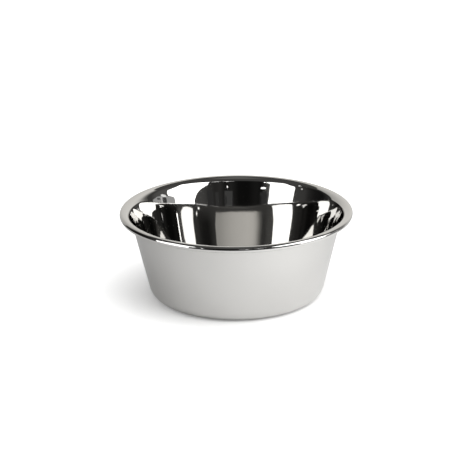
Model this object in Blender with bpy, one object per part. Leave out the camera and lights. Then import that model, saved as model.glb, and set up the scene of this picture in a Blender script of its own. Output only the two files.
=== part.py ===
"""Pet food bowl: one deep-drawn sheet of stainless steel with a rolled edge.

Metres, +Z up. The origin is the middle of the standing face, and +Z is the bowl's axis.
The bowl is a sheet of even thickness. Its section is walked from the middle of the base out
to the cut edge inside the curl, then turned about the axis.
"""

import math

import bmesh
import bpy

# Driving dimensions
SHEET = 0.0005                      # thickness of the drawn steel
HEIGHT = 0.0793                     # standing face to the crown of the rim
RIM_RADIUS = 0.105                  # outermost face of the rolled edge
CORNER_RADIUS = 0.0115              # outside radius between the standing face and the wall
WALL_LEAN = math.radians(13.15)     # straight part of the wall, measured from upright
FLARE_RADIUS = 0.180                # food side radius of the long curve above it
FLARE_LEAN = math.radians(19.2)     # lean where that curve runs into the shoulder
SHOULDER_RADIUS = 0.0068            # food side radius of the shoulder, up to the crown of the rim
CURL_RADIUS = 0.00275               # outside radius of the rolled edge, from the crown down
CURL_GAP = 0.0004                   # slit between the cut edge and the underside of the shoulder
STANDING_WIDTH = 0.010              # flat ring that the bowl stands on
PANEL_RISE = 0.0012                 # how far the middle of the base is pushed up
PANEL_BEND_RADIUS = 0.003           # middle radius of the two bends round that panel

# Facets
TURN_STEPS = 64
PANEL_BEND_STEPS = 2
CORNER_STEPS = 6
FLARE_STEPS = 3
SHOULDER_STEPS = 7
CURL_OUTSIDE_STEPS = 4
CURL_INSIDE_STEPS = 9
SHARP_ANGLE = math.radians(60)

# Finish
STEEL_COLOR = (0.60, 0.59, 0.57, 1.0)
STEEL_ROUGHNESS = 0.06


class SheetWalk:
    """The middle of the sheet, walked in the plane of radius and height.

    A positive arc turns left, towards the food side when the walk runs outwards.
    """

    def __init__(self, radius, height):
        self.radius = radius
        self.height = height
        self.heading = 0.0
        self.stations = []
        self.mark()

    def mark(self):
        self.stations.append((self.radius, self.height, self.heading))

    def line(self, length):
        self.radius += length * math.cos(self.heading)
        self.height += length * math.sin(self.heading)
        self.mark()

    def arc(self, bend_radius, angle, steps):
        side = math.copysign(1.0, angle)
        centre_radius = self.radius - side * bend_radius * math.sin(self.heading)
        centre_height = self.height + side * bend_radius * math.cos(self.heading)
        start = self.heading
        for step in range(1, steps + 1):
            self.heading = start + angle * step / steps
            self.radius = centre_radius + side * bend_radius * math.sin(self.heading)
            self.height = centre_height - side * bend_radius * math.cos(self.heading)
            self.mark()

    def face(self, offset):
        """The walk moved sideways, to the left where offset is positive."""
        return [
            (radius - offset * math.sin(heading), height + offset * math.cos(heading))
            for radius, height, heading in self.stations
        ]


def curl_angle():
    """The turn from the crown round to the cut edge, which stops a gap short of the shoulder.

    The circles of the curl and the shoulder have their centres one above the other.
    """
    apart = SHOULDER_RADIUS - CURL_RADIUS
    reach = SHOULDER_RADIUS - SHEET - CURL_GAP
    cosine = (reach ** 2 - CURL_RADIUS ** 2 - apart ** 2) / (2 * apart * CURL_RADIUS)
    return 2 * math.pi - math.acos(cosine)


def wall_and_standing():
    """Length of the straight wall and outer radius of the standing face.

    Each bend's run outwards and its rise are taken off the space between the standing face
    and the crown. The straight wall fills the rise that is left.
    """
    foot = math.pi / 2 - WALL_LEAN
    top = math.pi / 2 - FLARE_LEAN
    corner_bend = CORNER_RADIUS - SHEET / 2
    flare_bend = FLARE_RADIUS - SHEET / 2
    shoulder_bend = SHOULDER_RADIUS - SHEET / 2
    corner_rise = corner_bend * (1 - math.cos(foot))
    flare_rise = flare_bend * (math.cos(top) - math.cos(foot))
    shoulder_rise = shoulder_bend * (1 - math.cos(top))
    corner_run = corner_bend * math.sin(foot)
    flare_run = flare_bend * (math.sin(foot) - math.sin(top))
    shoulder_run = shoulder_bend * math.sin(top)
    wall = (HEIGHT - SHEET - corner_rise - flare_rise - shoulder_rise) / math.sin(foot)
    crown_radius = RIM_RADIUS - CURL_RADIUS
    standing = crown_radius - shoulder_run - flare_run - wall * math.cos(foot) - corner_run
    return wall, standing


def walk_bowl():
    foot = math.pi / 2 - WALL_LEAN
    top = math.pi / 2 - FLARE_LEAN
    wall, standing_radius = wall_and_standing()
    panel_bend = math.acos(1 - PANEL_RISE / (2 * PANEL_BEND_RADIUS))
    panel_bend_run = 2 * PANEL_BEND_RADIUS * math.sin(panel_bend)
    curl_bend = CURL_RADIUS - SHEET / 2

    walk = SheetWalk(0.0, PANEL_RISE + SHEET / 2)
    walk.line(standing_radius - STANDING_WIDTH - panel_bend_run)
    walk.arc(PANEL_BEND_RADIUS, -panel_bend, PANEL_BEND_STEPS)
    walk.arc(PANEL_BEND_RADIUS, panel_bend, PANEL_BEND_STEPS)
    walk.line(STANDING_WIDTH)
    walk.arc(CORNER_RADIUS - SHEET / 2, foot, CORNER_STEPS)
    walk.line(wall)
    walk.arc(FLARE_RADIUS - SHEET / 2, top - foot, FLARE_STEPS)
    walk.arc(SHOULDER_RADIUS - SHEET / 2, -top, SHOULDER_STEPS)
    walk.arc(curl_bend, -math.pi / 2, CURL_OUTSIDE_STEPS)
    walk.arc(curl_bend, math.pi / 2 - curl_angle(), CURL_INSIDE_STEPS)
    return walk


def turned_mesh(name, outline, steps):
    """A closed mesh from an outline that starts and ends on the axis."""
    shell = bmesh.new()
    rings = []
    for radius, height in outline[1:-1]:
        ring = []
        for step in range(steps):
            angle = 2 * math.pi * step / steps
            ring.append(shell.verts.new((radius * math.cos(angle), radius * math.sin(angle), height)))
        rings.append(ring)
    first = shell.verts.new((0.0, 0.0, outline[0][1]))
    last = shell.verts.new((0.0, 0.0, outline[-1][1]))
    for step in range(steps):
        after = (step + 1) % steps
        shell.faces.new((first, rings[0][step], rings[0][after]))
        shell.faces.new((rings[-1][step], last, rings[-1][after]))
        for near, far in zip(rings, rings[1:]):
            shell.faces.new((near[step], far[step], far[after], near[after]))
    mesh = bpy.data.meshes.new(name)
    shell.to_mesh(mesh)
    shell.free()
    mesh.shade_smooth()
    mesh.set_sharp_from_angle(angle=SHARP_ANGLE)
    return mesh


def steel_material():
    material = bpy.data.materials.new("polished_steel")
    material.use_nodes = True
    shader = material.node_tree.nodes["Principled BSDF"]
    shader.inputs["Base Color"].default_value = STEEL_COLOR
    shader.inputs["Metallic"].default_value = 1.0
    shader.inputs["Roughness"].default_value = STEEL_ROUGHNESS
    return material


def make_bowl():
    walk = walk_bowl()
    food_side = walk.face(SHEET / 2)
    underside = walk.face(-SHEET / 2)
    outline = food_side + underside[::-1]
    mesh = turned_mesh("bowl", outline, TURN_STEPS)
    mesh.materials.append(steel_material())
    bowl = bpy.data.objects.new("bowl", mesh)
    bpy.context.scene.collection.objects.link(bowl)
    return bowl


def clear_scene():
    for item in list(bpy.data.objects):
        bpy.data.objects.remove(item, do_unlink=True)


clear_scene()
make_bowl()
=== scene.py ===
"""Pet food bowl: the finished look, its studio and its camera.

Metres, +Z up, in the frame of the CAD. The bowl's section is walked with the same named sizes
as the CAD source and in finer steps, because polished steel shows every facet.
"""

import math

import bmesh
import bpy
from mathutils import Matrix, Vector


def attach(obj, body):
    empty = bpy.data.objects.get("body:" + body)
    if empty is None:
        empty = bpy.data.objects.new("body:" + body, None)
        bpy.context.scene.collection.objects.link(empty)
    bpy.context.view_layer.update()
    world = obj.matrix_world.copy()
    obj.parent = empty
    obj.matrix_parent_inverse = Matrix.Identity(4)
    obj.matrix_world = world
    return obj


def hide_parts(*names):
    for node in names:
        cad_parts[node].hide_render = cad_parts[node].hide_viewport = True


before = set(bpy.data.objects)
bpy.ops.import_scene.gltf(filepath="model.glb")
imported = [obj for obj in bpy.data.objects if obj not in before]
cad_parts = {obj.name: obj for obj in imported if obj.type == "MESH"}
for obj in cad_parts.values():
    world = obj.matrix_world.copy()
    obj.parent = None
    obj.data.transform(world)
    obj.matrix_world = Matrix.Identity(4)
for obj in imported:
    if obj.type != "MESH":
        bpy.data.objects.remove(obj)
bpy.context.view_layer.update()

# Driving dimensions, as in the CAD source
SHEET = 0.0005                      # thickness of the drawn steel
HEIGHT = 0.0793                     # standing face to the crown of the rim
RIM_RADIUS = 0.105                  # outermost face of the rolled edge
CORNER_RADIUS = 0.0115              # outside radius between the standing face and the wall
WALL_LEAN = math.radians(13.15)     # straight part of the wall, measured from upright
FLARE_RADIUS = 0.180                # food side radius of the long curve above it
FLARE_LEAN = math.radians(19.2)     # lean where that curve runs into the shoulder
SHOULDER_RADIUS = 0.0068            # food side radius of the shoulder, up to the crown of the rim
CURL_RADIUS = 0.00275               # outside radius of the rolled edge, from the crown down
CURL_GAP = 0.0004                   # slit between the cut edge and the underside of the shoulder
STANDING_WIDTH = 0.010              # flat ring that the bowl stands on
PANEL_RISE = 0.0012                 # how far the middle of the base is pushed up
PANEL_BEND_RADIUS = 0.003           # middle radius of the two bends round that panel

# Facets
TURN_STEPS = 256
PANEL_STEPS = 6
PANEL_BEND_STEPS = 4
STANDING_STEPS = 3
CORNER_STEPS = 14
WALL_STEPS = 8
FLARE_STEPS = 10
SHOULDER_STEPS = 20
CURL_OUTSIDE_STEPS = 16
CURL_INSIDE_STEPS = 20
SHARP_ANGLE = math.radians(60)

# Finish of the steel
STEEL_COLOR = (0.70, 0.693, 0.678)
FOOD_SIDE_ROUGHNESS = (0.02, 0.05)
OUTSIDE_ROUGHNESS = (0.12, 0.20)
WAVE_LENGTH = 0.024                 # soft waves that drawing leaves in the sheet
WAVE_DEPTH = 0.00008
WAVE_DETAIL = 1.0
WAVE_TONE = 0.97                    # the steel's tone at the darkest of the waves
POLISH_SPACING = 0.0007             # rings left by the polishing wheel
POLISH_DEPTH = 0.0000007
POLISH_DETAIL = 2.0
POLISH_AROUND = 4.0                 # how fast the rings change round the bowl
POLISH_RANGE = (0.3, 0.7)           # noise levels that give the least and the most roughness
NOISE_ROUGHNESS = 0.5

# Camera, from the photograph's outlines
CAMERA_PLACE = (-0.00346, -1.300, 0.50887)
CAMERA_PITCH = math.radians(19.189)
CAMERA_ROLL = math.radians(0.586)
CAMERA_LENS = 117.55                # mm
CAMERA_SENSOR = 36.0                # mm wide
CAMERA_REACH = 50.0

# Light that falls on the floor
AMBIENT = 0.475                     # strength of the world's even light
KEY_PLACE = (44.0, 44.0, 0.42)      # bearing, elevation and distance
KEY_SIDE = 0.32
KEY_POWER = 1.36                    # watts
FILL_PLACE = (165.0, 45.0, 0.90)
FILL_SIDE = 0.70
FILL_POWER = 0.6
FLOOR_COLOR = (0.85, 0.85, 0.845, 1.0)
FLOOR_GLOW = (0.20, 0.85)           # added where the camera sees the floor, less near the bowl than away, which paints shade round the bowl's foot
PAINTED_SHADE_REACH = (0.075, 0.15)    # distances from the axis between which one becomes the other; the painted shade ends at the outer one
FLOOR_GLOW_MIRRORED = 0.02          # added where the steel mirrors the floor
FLOOR_SIDE = 6.0
FLOOR_DROP = 0.00005                # the floor lies a hair under the standing face

# Studio that the steel mirrors. A bearing is in degrees, 0 towards the camera and positive
# to the right of it, and an elevation is in degrees above the floor. Levels are radiances.
ROOM_RADIUS = 2.6
ROOM_FOOT = -2                      # elevation at which the walls start, a little under the floor
ROOM_ROW = 2                        # degrees from row to row of its mesh
ROOM_COLUMN = 3                     # degrees from column to column
ROOM_TINT = (1.0, 0.985, 0.96)
ROOM_WALLS = (
    # bearing, level
    (-130, 0.060),
    (-112, 0.007),
    (-98, 0.012),
    (-90, 0.024),
    (-84, 0.048),
    (-66, 0.060),
    (-44, 0.120),
    (-38, 0.100),
    (-31, 0.008),
    (-23, 0.012),
    (-14, 0.005),
    (-3, 0.006),
    (6, 0.020),
    (12, 0.010),
    (18, 0.030),
    (24, 0.024),
    (33, 0.045),
    (40, 0.070),
    (86, 0.110),
    (101, 0.095),
    (108, 0.050),
    (115, 0.060),
)
CEILING_LEVEL = 0.068
CEILING_START = (28.0, 52.0)        # elevations between which the walls turn into the ceiling
OVERHEAD_LEVEL = 0.12               # faint soft light right above the bowl
OVERHEAD_START = (74.0, 86.0)       # elevations between which it sets in
SURROUND_START = 0.34               # distance from the axis at which the lit table ends
SURROUND_LEVEL = 0.015
SURROUND_LIFT = 0.001               # height over the floor, so that it hides the floor
CURVE_STEPS = 60                    # facets along the surround and the backdrop
BACKDROP_RADIUS = 1.5
BACKDROP_LEVELS = (
    # bearing, level
    (115.5, 0.10),
    (120, 0.17),
    (125, 0.36),
    (131, 0.62),
    (138, 0.78),
    (150, 0.83),
    (174, 0.77),
    (190, 0.71),
    (205, 0.62),
    (218, 0.52),
    (231, 0.46),
)
BACKDROP_TOPS = (
    # bearing, elevation of its top edge
    (115.5, 43.5),
    (130, 45.2),
    (170, 48.0),
    (190, 48.0),
    (231, 45.0),
)
BACKDROP_TINT = (1.0, 0.98, 0.94)
CARD_ROUNDING = 0.012               # how far from a corner of a card its rounding starts
CARD_ROUNDING_SHARE = 0.4           # the most that it takes of a side
CARD_ROUNDING_STEPS = 6
LEFT_SOFTBOX_LEVEL = 2.3
LEFT_SOFTBOX_PLACE = (-58.0, 0.45)  # bearing and distance
LEFT_SOFTBOX_OUTLINE = (
    # across and up, in metres
    (0.140, 0.020),
    (0.140, 0.120),
    (0.118, 0.268),
    (0.157, 0.295),
    (0.157, 0.380),
    (0.112, 0.450),
    (-0.092, 0.485),
    (-0.096, 0.300),
    (-0.145, 0.225),
    (-0.112, 0.020),
)
RIGHT_SOFTBOX_LEVEL = 2.8
RIGHT_SOFTBOX_PLACE = (65.0, 0.35)
RIGHT_SOFTBOX_OUTLINE = (
    (-0.066, 0.060),
    (0.104, 0.060),
    (0.104, 0.142),
    (0.170, 0.150),
    (0.168, 0.180),
    (0.130, 0.220),
    (0.108, 0.320),
    (0.135, 0.530),
    (-0.203, 0.420),
    (-0.203, 0.270),
    (-0.200, 0.243),
    (-0.132, 0.205),
    (-0.086, 0.168),
    (-0.064, 0.130),
)
STAND_LEVEL = 0.42                  # what holds the right softbox, catching its light
STAND_OUTLINE = (
    (0.100, 0.060),
    (0.385, 0.060),
    (0.385, 0.122),
    (0.300, 0.142),
    (0.230, 0.148),
    (0.100, 0.146),
)
STAND_PARTS = (
    # name, level, distance, outline
    ("stand_bar", 0.62, 0.349, ((0.229, 0.060), (0.252, 0.060), (0.252, 0.143), (0.229, 0.143))),
    ("stand_post", 0.06, 0.348, ((0.187, 0.109), (0.231, 0.109), (0.231, 0.141), (0.187, 0.141))),
    ("stand_grip", 0.12, 0.348, ((0.256, 0.125), (0.305, 0.125), (0.305, 0.136), (0.256, 0.136))),
    ("stand_shelf", 0.15, 0.348, ((0.290, 0.098), (0.345, 0.098), (0.345, 0.109), (0.290, 0.109))),
    (
        "stand_clamp",
        1.10,
        0.347,
        ((0.186, 0.141), (0.226, 0.142), (0.250, 0.151), (0.222, 0.156), (0.186, 0.150)),
    ),
)
LAMPS = (
    # bearing, elevation, width and height in degrees, level
    (9.9, 18.9, 1.4, 1.4, 1.6),
    (8.5, 31.0, 12.0, 2.0, 2.0),
    (-32.0, 17.2, 6.0, 1.2, 2.5),
    (-80.0, 14.6, 2.2, 0.8, 1.5),
    (24.5, 34.5, 10.0, 2.2, 3.0),
    (-89.0, 41.5, 3.0, 2.5, 3.0),
    (-84.0, 36.0, 1.8, 3.0, 3.0),
    (10.4, 28.5, 3.0, 2.0, 3.0),
    (-34.0, 25.6, 1.8, 5.0, 5.0),
)
FURNITURE = (
    # bearing, elevation, width and height in degrees, level
    (8.5, 11.0, 9.0, 10.0, 0.060),
    (3.0, 9.0, 1.6, 6.0, 0.020),
    (11.5, 9.0, 1.2, 8.0, 0.020),
    (22.0, 11.0, 4.0, 8.0, 0.040),
    (30.0, 10.0, 7.0, 12.0, 0.035),
    (-32.5, 10.5, 8.0, 8.0, 0.035),
    (-29.5, 9.5, 1.2, 6.0, 0.012),
)
LAMP_CORNERS = 24
FURNITURE_CORNERS = 4
SPOT_HEIGHT = 0.060                 # spots are placed as seen from this height on the axis
SPOT_GAP = 0.2                      # from the spots to the room's walls


def add_object(name, data):
    """A new object in the scene."""
    made = bpy.data.objects.new(name, data)
    bpy.context.scene.collection.objects.link(made)
    return made


# Bowl

class SheetWalk:
    """The middle of the sheet, walked in the plane of radius and height.

    A positive arc turns left, towards the food side when the walk runs outwards.
    """

    def __init__(self, radius, height):
        self.radius = radius
        self.height = height
        self.heading = 0.0
        self.stations = []
        self.mark()

    def mark(self):
        self.stations.append((self.radius, self.height, self.heading))

    def line(self, length, steps):
        for _ in range(steps):
            self.radius += length / steps * math.cos(self.heading)
            self.height += length / steps * math.sin(self.heading)
            self.mark()

    def arc(self, bend_radius, angle, steps):
        side = math.copysign(1.0, angle)
        centre_radius = self.radius - side * bend_radius * math.sin(self.heading)
        centre_height = self.height + side * bend_radius * math.cos(self.heading)
        start = self.heading
        for step in range(1, steps + 1):
            self.heading = start + angle * step / steps
            self.radius = centre_radius + side * bend_radius * math.sin(self.heading)
            self.height = centre_height - side * bend_radius * math.cos(self.heading)
            self.mark()

    def face(self, offset):
        """The walk moved sideways, to the left where offset is positive."""
        return [
            (radius - offset * math.sin(heading), height + offset * math.cos(heading))
            for radius, height, heading in self.stations
        ]


def curl_angle():
    """The turn from the crown round to the cut edge, which stops a gap short of the shoulder."""
    apart = SHOULDER_RADIUS - CURL_RADIUS
    reach = SHOULDER_RADIUS - SHEET - CURL_GAP
    cosine = (reach ** 2 - CURL_RADIUS ** 2 - apart ** 2) / (2 * apart * CURL_RADIUS)
    return 2 * math.pi - math.acos(cosine)


def wall_and_standing():
    """Length of the straight wall and outer radius of the standing face."""
    foot = math.pi / 2 - WALL_LEAN
    top = math.pi / 2 - FLARE_LEAN
    corner_bend = CORNER_RADIUS - SHEET / 2
    flare_bend = FLARE_RADIUS - SHEET / 2
    shoulder_bend = SHOULDER_RADIUS - SHEET / 2
    corner_rise = corner_bend * (1 - math.cos(foot))
    flare_rise = flare_bend * (math.cos(top) - math.cos(foot))
    shoulder_rise = shoulder_bend * (1 - math.cos(top))
    corner_run = corner_bend * math.sin(foot)
    flare_run = flare_bend * (math.sin(foot) - math.sin(top))
    shoulder_run = shoulder_bend * math.sin(top)
    wall = (HEIGHT - SHEET - corner_rise - flare_rise - shoulder_rise) / math.sin(foot)
    crown_radius = RIM_RADIUS - CURL_RADIUS
    standing = crown_radius - shoulder_run - flare_run - wall * math.cos(foot) - corner_run
    return wall, standing


def walk_bowl():
    """The walk, and the number of its stations up to the outermost point of the rim."""
    foot = math.pi / 2 - WALL_LEAN
    top = math.pi / 2 - FLARE_LEAN
    wall, standing_radius = wall_and_standing()
    panel_bend = math.acos(1 - PANEL_RISE / (2 * PANEL_BEND_RADIUS))
    panel_bend_run = 2 * PANEL_BEND_RADIUS * math.sin(panel_bend)
    curl_bend = CURL_RADIUS - SHEET / 2

    walk = SheetWalk(0.0, PANEL_RISE + SHEET / 2)
    walk.line(standing_radius - STANDING_WIDTH - panel_bend_run, PANEL_STEPS)
    walk.arc(PANEL_BEND_RADIUS, -panel_bend, PANEL_BEND_STEPS)
    walk.arc(PANEL_BEND_RADIUS, panel_bend, PANEL_BEND_STEPS)
    walk.line(STANDING_WIDTH, STANDING_STEPS)
    walk.arc(CORNER_RADIUS - SHEET / 2, foot, CORNER_STEPS)
    walk.line(wall, WALL_STEPS)
    walk.arc(FLARE_RADIUS - SHEET / 2, top - foot, FLARE_STEPS)
    walk.arc(SHOULDER_RADIUS - SHEET / 2, -top, SHOULDER_STEPS)
    walk.arc(curl_bend, -math.pi / 2, CURL_OUTSIDE_STEPS)
    to_rim = len(walk.stations)
    walk.arc(curl_bend, math.pi / 2 - curl_angle(), CURL_INSIDE_STEPS)
    return walk, to_rim


def turned_mesh(name, outline, mirror_rings, steps):
    """A closed mesh from an outline on the axis. Its first rings take the first material."""
    shell = bmesh.new()
    rings = []
    for radius, height in outline[1:-1]:
        ring = []
        for step in range(steps):
            angle = 2 * math.pi * step / steps
            ring.append(shell.verts.new((radius * math.cos(angle), radius * math.sin(angle), height)))
        rings.append(ring)
    first = shell.verts.new((0.0, 0.0, outline[0][1]))
    last = shell.verts.new((0.0, 0.0, outline[-1][1]))
    for step in range(steps):
        after = (step + 1) % steps
        shell.faces.new((first, rings[0][step], rings[0][after]))
        shell.faces.new((rings[-1][step], last, rings[-1][after])).material_index = 1
        for place in range(len(rings) - 1):
            near = rings[place]
            far = rings[place + 1]
            face = shell.faces.new((near[step], far[step], far[after], near[after]))
            face.material_index = int(place >= mirror_rings)
    mesh = bpy.data.meshes.new(name)
    shell.to_mesh(mesh)
    shell.free()
    mesh.shade_smooth()
    mesh.set_sharp_from_angle(angle=SHARP_ANGLE)
    return mesh


def make_bowl():
    walk, to_rim = walk_bowl()
    outline = walk.face(SHEET / 2) + walk.face(-SHEET / 2)[::-1]
    mesh = turned_mesh("polished_bowl", outline, to_rim, TURN_STEPS)
    mesh.materials.append(steel_material("steel_food_side", FOOD_SIDE_ROUGHNESS))
    mesh.materials.append(steel_material("steel_outside", OUTSIDE_ROUGHNESS))
    bowl = add_object("polished_bowl", mesh)
    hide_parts("bowl")
    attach(bowl, "root")


# Materials

def add_node(tree, kind, sockets, **settings):
    """A new node. A socket gets a link where its value is another node's socket."""
    made = tree.nodes.new(kind)
    for name, value in settings.items():
        setattr(made, name, value)
    for key, value in sockets.items():
        if isinstance(value, bpy.types.NodeSocket):
            tree.links.new(value, made.inputs[key])
        else:
            made.inputs[key].default_value = value
    return made.outputs[0]


def add_math(tree, operation, first, second):
    return add_node(tree, "ShaderNodeMath", {0: first, 1: second}, operation=operation)


def add_vector_math(tree, operation, *vectors):
    return add_node(tree, "ShaderNodeVectorMath", dict(enumerate(vectors)), operation=operation)


def length_of(tree, vector):
    """The length of a vector, which its node gives on its second output."""
    length = tree.nodes.new("ShaderNodeVectorMath")
    length.operation = "LENGTH"
    tree.links.new(vector, length.inputs[0])
    return length.outputs["Value"]


def map_range(tree, value, start, end):
    """A value carried over from the pair of levels in start to the pair in end."""
    sockets = {
        "Value": value,
        "From Min": start[0],
        "From Max": start[1],
        "To Min": end[0],
        "To Max": end[1],
    }
    return add_node(tree, "ShaderNodeMapRange", sockets)


def noise(tree, vector, scale, detail):
    sockets = {"Vector": vector, "Scale": scale, "Detail": detail, "Roughness": NOISE_ROUGHNESS}
    return add_node(tree, "ShaderNodeTexNoise", sockets)


def bare_material(name):
    """A new material with nothing on its surface yet."""
    material = bpy.data.materials.new(name)
    material.use_nodes = True
    tree = material.node_tree
    tree.nodes.remove(tree.nodes["Principled BSDF"])
    return material


def lay_surface(material, shader):
    """Puts a shader on a bare material, whose glow isn't sampled as a lamp."""
    tree = material.node_tree
    tree.links.new(shader, tree.nodes["Material Output"].inputs["Surface"])
    material.cycles.emission_sampling = "NONE"


def ring_coordinates(tree, place):
    """Coordinates that run fast across the section and slowly round the bowl."""
    split = tree.nodes.new("ShaderNodeSeparateXYZ")
    tree.links.new(place, split.inputs[0])
    flat = add_node(tree, "ShaderNodeCombineXYZ", {0: split.outputs[0], 1: split.outputs[1]})
    run = add_math(tree, "ADD", length_of(tree, flat), split.outputs[2])
    run = add_math(tree, "DIVIDE", run, POLISH_SPACING)
    fast = add_node(tree, "ShaderNodeCombineXYZ", {2: run})
    direction = add_vector_math(tree, "NORMALIZE", flat)
    slow = add_vector_math(tree, "MULTIPLY", direction, (POLISH_AROUND, POLISH_AROUND, 0.0))
    return add_vector_math(tree, "ADD", slow, fast)


def steel_material(name, roughness):
    """Polished steel with soft waves from drawing and fine rings from the polishing wheel."""
    material = bpy.data.materials.new(name)
    material.use_nodes = True
    tree = material.node_tree
    shader = tree.nodes["Principled BSDF"]
    shader.inputs["Metallic"].default_value = 1.0

    place = tree.nodes.new("ShaderNodeTexCoord").outputs["Object"]
    rings = noise(tree, ring_coordinates(tree, place), 1.0, POLISH_DETAIL)
    waves = noise(tree, place, 1 / WAVE_LENGTH, WAVE_DETAIL)
    tree.links.new(map_range(tree, rings, POLISH_RANGE, roughness), shader.inputs["Roughness"])

    tint = tree.nodes.new("ShaderNodeMix")
    tint.data_type = "RGBA"
    tint.inputs["A"].default_value = (*(WAVE_TONE * level for level in STEEL_COLOR), 1.0)
    tint.inputs["B"].default_value = (*STEEL_COLOR, 1.0)
    tree.links.new(waves, tint.inputs["Factor"])
    tree.links.new(tint.outputs["Result"], shader.inputs["Base Color"])

    wave_relief = add_math(tree, "MULTIPLY", waves, WAVE_DEPTH)
    ring_relief = add_math(tree, "MULTIPLY", rings, POLISH_DEPTH)
    relief = add_math(tree, "ADD", wave_relief, ring_relief)
    bump = add_node(tree, "ShaderNodeBump", {"Strength": 1.0, "Distance": 1.0, "Height": relief})
    tree.links.new(bump, shader.inputs["Normal"])
    return material


def floor_material():
    """A pale floor that keeps the shadow, with a glow that lifts it to white, weaker near the bowl as
    painted shade round its foot.
    """
    material = bare_material("floor")
    tree = material.node_tree
    path = tree.nodes.new("ShaderNodeLightPath").outputs
    place = tree.nodes.new("ShaderNodeTexCoord").outputs["Object"]
    # The glow is weaker near the axis: painted shade round the bowl's foot, on top of its real shadow
    lift_with_painted_shade = map_range(tree, length_of(tree, place), PAINTED_SHADE_REACH, FLOOR_GLOW)
    seen = add_math(tree, "MULTIPLY", path["Is Camera Ray"], lift_with_painted_shade)
    mirrored = add_math(tree, "MAXIMUM", path["Is Glossy Ray"], path["Is Transmission Ray"])
    mirrored = add_math(tree, "MULTIPLY", mirrored, FLOOR_GLOW_MIRRORED)
    strength = add_math(tree, "ADD", seen, mirrored)
    lit = add_node(tree, "ShaderNodeBsdfDiffuse", {"Color": FLOOR_COLOR})
    glow = add_node(tree, "ShaderNodeEmission", {"Strength": strength})
    lay_surface(material, add_node(tree, "ShaderNodeAddShader", {0: lit, 1: glow}))
    return material


def glow_material():
    """Light from the studio's sheets, with its level kept on their points."""
    material = bare_material("studio_glow")
    tree = material.node_tree
    level = add_node(tree, "ShaderNodeAttribute", {}, attribute_name="glow")
    lay_surface(material, add_node(tree, "ShaderNodeEmission", {"Color": level, "Strength": 1.0}))
    return material


# Studio

def smooth(value, start, end):
    """A soft step from 0 at start to 1 at end."""
    share = min(max((value - start) / (end - start), 0.0), 1.0)
    return share * share * (3 - 2 * share)


def ramp(value, stops):
    """The level at a value, in straight lines between the stops."""
    for (start, low), (end, high) in zip(stops, stops[1:]):
        if value <= end:
            share = max(value - start, 0.0) / (end - start)
            return low + (high - low) * share
    return stops[-1][1]


def outward(bearing, elevation):
    """The unit vector towards a bearing and an elevation."""
    turn = math.radians(bearing)
    rise = math.radians(elevation)
    level = math.cos(rise)
    return Vector((math.sin(turn) * level, -math.cos(turn) * level, math.sin(rise)))


def upward(height):
    return Vector((0.0, 0.0, height))


def between(start, end):
    """Values from start to end, a step apart along the surround or the backdrop."""
    return [start + (end - start) * step / CURVE_STEPS for step in range(CURVE_STEPS + 1)]


def tinted(level, tint):
    return tuple(level * share for share in tint)


def studio_sheet(name, points, faces, glows, material):
    """A sheet that only the steel mirrors. It throws no shadow and the camera doesn't see it."""
    mesh = bpy.data.meshes.new(name)
    mesh.from_pydata(points, [], faces)
    mesh.materials.append(material)
    levels = mesh.color_attributes.new("glow", "FLOAT_COLOR", "POINT")
    for place, glow in enumerate(glows):
        levels.data[place].color = (*glow, 1.0)
    sheet = add_object(name, mesh)
    sheet.visible_camera = False
    sheet.visible_diffuse = False
    sheet.visible_shadow = False


def grid_sheet(name, rows, material, light):
    """A studio sheet from rows of (bearing, elevation, point), and its light at those angles."""
    points = [point for row in rows for _, _, point in row]
    glows = [light(bearing, elevation) for row in rows for bearing, elevation, _ in row]
    width = len(rows[0])
    faces = []
    for low in range(len(rows) - 1):
        for left in range(width - 1):
            corner = low * width + left
            faces.append((corner, corner + 1, corner + 1 + width, corner + width))
    studio_sheet(name, points, faces, glows, material)


def room_light(bearing, elevation):
    turned = (bearing + 180) % 360 - 180
    up = smooth(elevation, *CEILING_START)
    level = ramp(turned, ROOM_WALLS) * (1 - up) + CEILING_LEVEL * up
    level += OVERHEAD_LEVEL * smooth(elevation, *OVERHEAD_START)
    return tinted(level, ROOM_TINT)


def make_room(material):
    """The dim room round the table, with its ceiling."""
    rows = []
    for elevation in range(ROOM_FOOT, 90 + 1, ROOM_ROW):
        row = []
        for bearing in range(0, 360 + 1, ROOM_COLUMN):
            row.append((bearing, elevation, ROOM_RADIUS * outward(bearing, elevation)))
        rows.append(row)
    grid_sheet("room", rows, material, room_light)


def surround_light(_bearing, _elevation):
    """One level all over."""
    return (SURROUND_LEVEL,) * 3


def make_surround(material):
    """The dark surround of the table, a hair over the floor, in front of the backdrop."""
    start = BACKDROP_LEVELS[-1][0] - 360
    end = BACKDROP_LEVELS[0][0]
    rows = []
    for radius in (SURROUND_START, ROOM_RADIUS):
        row = []
        for bearing in between(start, end):
            row.append((bearing, 0.0, radius * outward(bearing, 0.0) + upward(SURROUND_LIFT)))
        rows.append(row)
    grid_sheet("surround", rows, material, surround_light)


def backdrop_light(bearing, _elevation):
    return tinted(ramp(bearing, BACKDROP_LEVELS), BACKDROP_TINT)


def make_backdrop(material):
    """The pale curved backdrop behind the bowl, higher in its middle."""
    lower = []
    upper = []
    for bearing in between(BACKDROP_LEVELS[0][0], BACKDROP_LEVELS[-1][0]):
        foot = BACKDROP_RADIUS * outward(bearing, 0.0)
        top = ramp(bearing, BACKDROP_TOPS)
        height = BACKDROP_RADIUS * math.tan(math.radians(top))
        lower.append((bearing, 0.0, foot))
        upper.append((bearing, top, foot + upward(height)))
    grid_sheet("backdrop", [lower, upper], material, backdrop_light)


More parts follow.
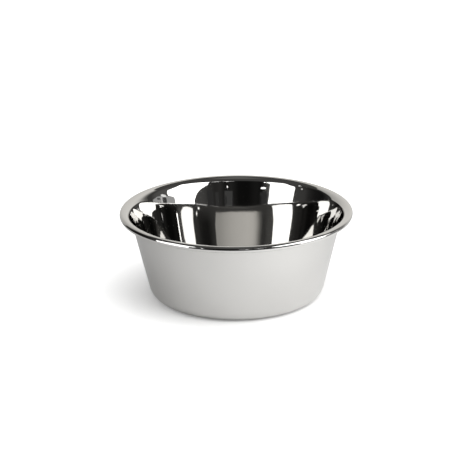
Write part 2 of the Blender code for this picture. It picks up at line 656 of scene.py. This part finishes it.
def rounded(corners):
    """A card's outline with its corners rounded, less far where a side is short."""
    outline = []
    count = len(corners)
    for place, corner in enumerate(corners):
        here = Vector(corner)
        back = Vector(corners[place - 1]) - here
        onward = Vector(corners[(place + 1) % count]) - here
        before = here + back * min(CARD_ROUNDING / back.length, CARD_ROUNDING_SHARE)
        after = here + onward * min(CARD_ROUNDING / onward.length, CARD_ROUNDING_SHARE)
        for step in range(CARD_ROUNDING_STEPS + 1):
            share = step / CARD_ROUNDING_STEPS
            left = 1 - share
            outline.append(before * left ** 2 + here * 2 * share * left + after * share ** 2)
    return outline


def make_card(name, place, corners, level, material):
    """An upright card. Across is to the right as the bowl faces it, from its own middle."""
    bearing, distance = place
    middle = distance * outward(bearing, 0.0)
    across = outward(bearing + 90, 0.0)
    points = [middle + across * wide + upward(high) for wide, high in rounded(corners)]
    studio_sheet(name, points, [tuple(range(len(points)))], [(level,) * 3] * len(points), material)


def make_spot(name, bearing, elevation, wide, tall, level, corners, material):
    """A flat spot that faces the bowl, in front of the room's walls."""
    distance = ROOM_RADIUS - SPOT_GAP
    centre = distance * outward(bearing, elevation) + upward(SPOT_HEIGHT)
    across = outward(bearing + 90, 0.0)
    up = across.cross(outward(bearing, elevation))
    half_wide = distance * math.tan(math.radians(wide / 2))
    half_tall = distance * math.tan(math.radians(tall / 2))
    stretch = 1 / math.cos(math.pi / corners) if corners == FURNITURE_CORNERS else 1.0
    points = []
    for step in range(corners):
        angle = 2 * math.pi * (step + 0.5) / corners
        sideways = across * half_wide * stretch * math.cos(angle)
        points.append(centre + sideways + up * half_tall * stretch * math.sin(angle))
    studio_sheet(name, points, [tuple(range(corners))], [(level,) * 3] * corners, material)


def make_floor():
    half = FLOOR_SIDE / 2
    corners = [(-half, -half), (half, -half), (half, half), (-half, half)]
    mesh = bpy.data.meshes.new("floor")
    mesh.from_pydata([(x, y, -FLOOR_DROP) for x, y in corners], [], [(0, 1, 2, 3)])
    mesh.materials.append(floor_material())
    add_object("floor", mesh)


def make_world():
    """White where the camera or the steel meets it, and an even soft light for the rest."""
    world = bpy.data.worlds.new("studio")
    world.use_nodes = True
    bpy.context.scene.world = world
    tree = world.node_tree
    path = tree.nodes.new("ShaderNodeLightPath").outputs
    seen = add_math(tree, "MAXIMUM", path["Is Camera Ray"], path["Is Glossy Ray"])
    seen = add_math(tree, "MAXIMUM", seen, path["Is Transmission Ray"])
    strength = map_range(tree, seen, (0.0, 1.0), (AMBIENT, 1.0))
    background = tree.nodes["Background"]
    background.inputs["Color"].default_value = (1.0, 1.0, 1.0, 1.0)
    tree.links.new(strength, background.inputs["Strength"])


def make_light(name, spot, side, power):
    """A square lamp that faces the bowl's foot. Neither the camera nor the steel sees it."""
    data = bpy.data.lights.new(name, "AREA")
    data.size = side
    data.energy = power
    light = add_object(name, data)
    bearing, elevation, distance = spot
    place = distance * outward(bearing, elevation)
    light.location = place
    light.rotation_euler = (-place).to_track_quat("-Z", "Y").to_euler()
    light.visible_camera = False
    light.visible_glossy = False


def make_cards(material):
    """The two softboxes, and the stand that holds the right one."""
    make_card("softbox_left", LEFT_SOFTBOX_PLACE, LEFT_SOFTBOX_OUTLINE, LEFT_SOFTBOX_LEVEL, material)
    make_card("softbox_right", RIGHT_SOFTBOX_PLACE, RIGHT_SOFTBOX_OUTLINE, RIGHT_SOFTBOX_LEVEL, material)
    make_card("softbox_stand", RIGHT_SOFTBOX_PLACE, STAND_OUTLINE, STAND_LEVEL, material)
    for name, level, distance, outline in STAND_PARTS:
        make_card(name, (RIGHT_SOFTBOX_PLACE[0], distance), outline, level, material)


def make_spots(material):
    """The small lamps, nearly round, and the furniture in oblongs."""
    for place, lamp in enumerate(LAMPS):
        make_spot("lamp_%d" % place, *lamp, LAMP_CORNERS, material)
    for place, piece in enumerate(FURNITURE):
        make_spot("furniture_%d" % place, *piece, FURNITURE_CORNERS, material)


def make_studio():
    glow = glow_material()
    make_room(glow)
    make_surround(glow)
    make_backdrop(glow)
    make_cards(glow)
    make_spots(glow)
    make_floor()
    make_world()
    make_light("key", KEY_PLACE, KEY_SIDE, KEY_POWER)
    make_light("fill", FILL_PLACE, FILL_SIDE, FILL_POWER)


def make_camera():
    data = bpy.data.cameras.new("camera")
    data.sensor_fit = "HORIZONTAL"
    data.sensor_width = CAMERA_SENSOR
    data.lens = CAMERA_LENS
    data.clip_end = CAMERA_REACH
    camera = add_object("camera", data)
    tilt = Matrix.Rotation(math.pi / 2 - CAMERA_PITCH, 4, "X")
    roll = Matrix.Rotation(-CAMERA_ROLL, 4, "Z")
    camera.matrix_world = Matrix.Translation(CAMERA_PLACE) @ tilt @ roll
    bpy.context.scene.camera = camera


make_camera()
make_bowl()
make_studio()
bpy.context.scene.view_settings.view_transform = "Standard"
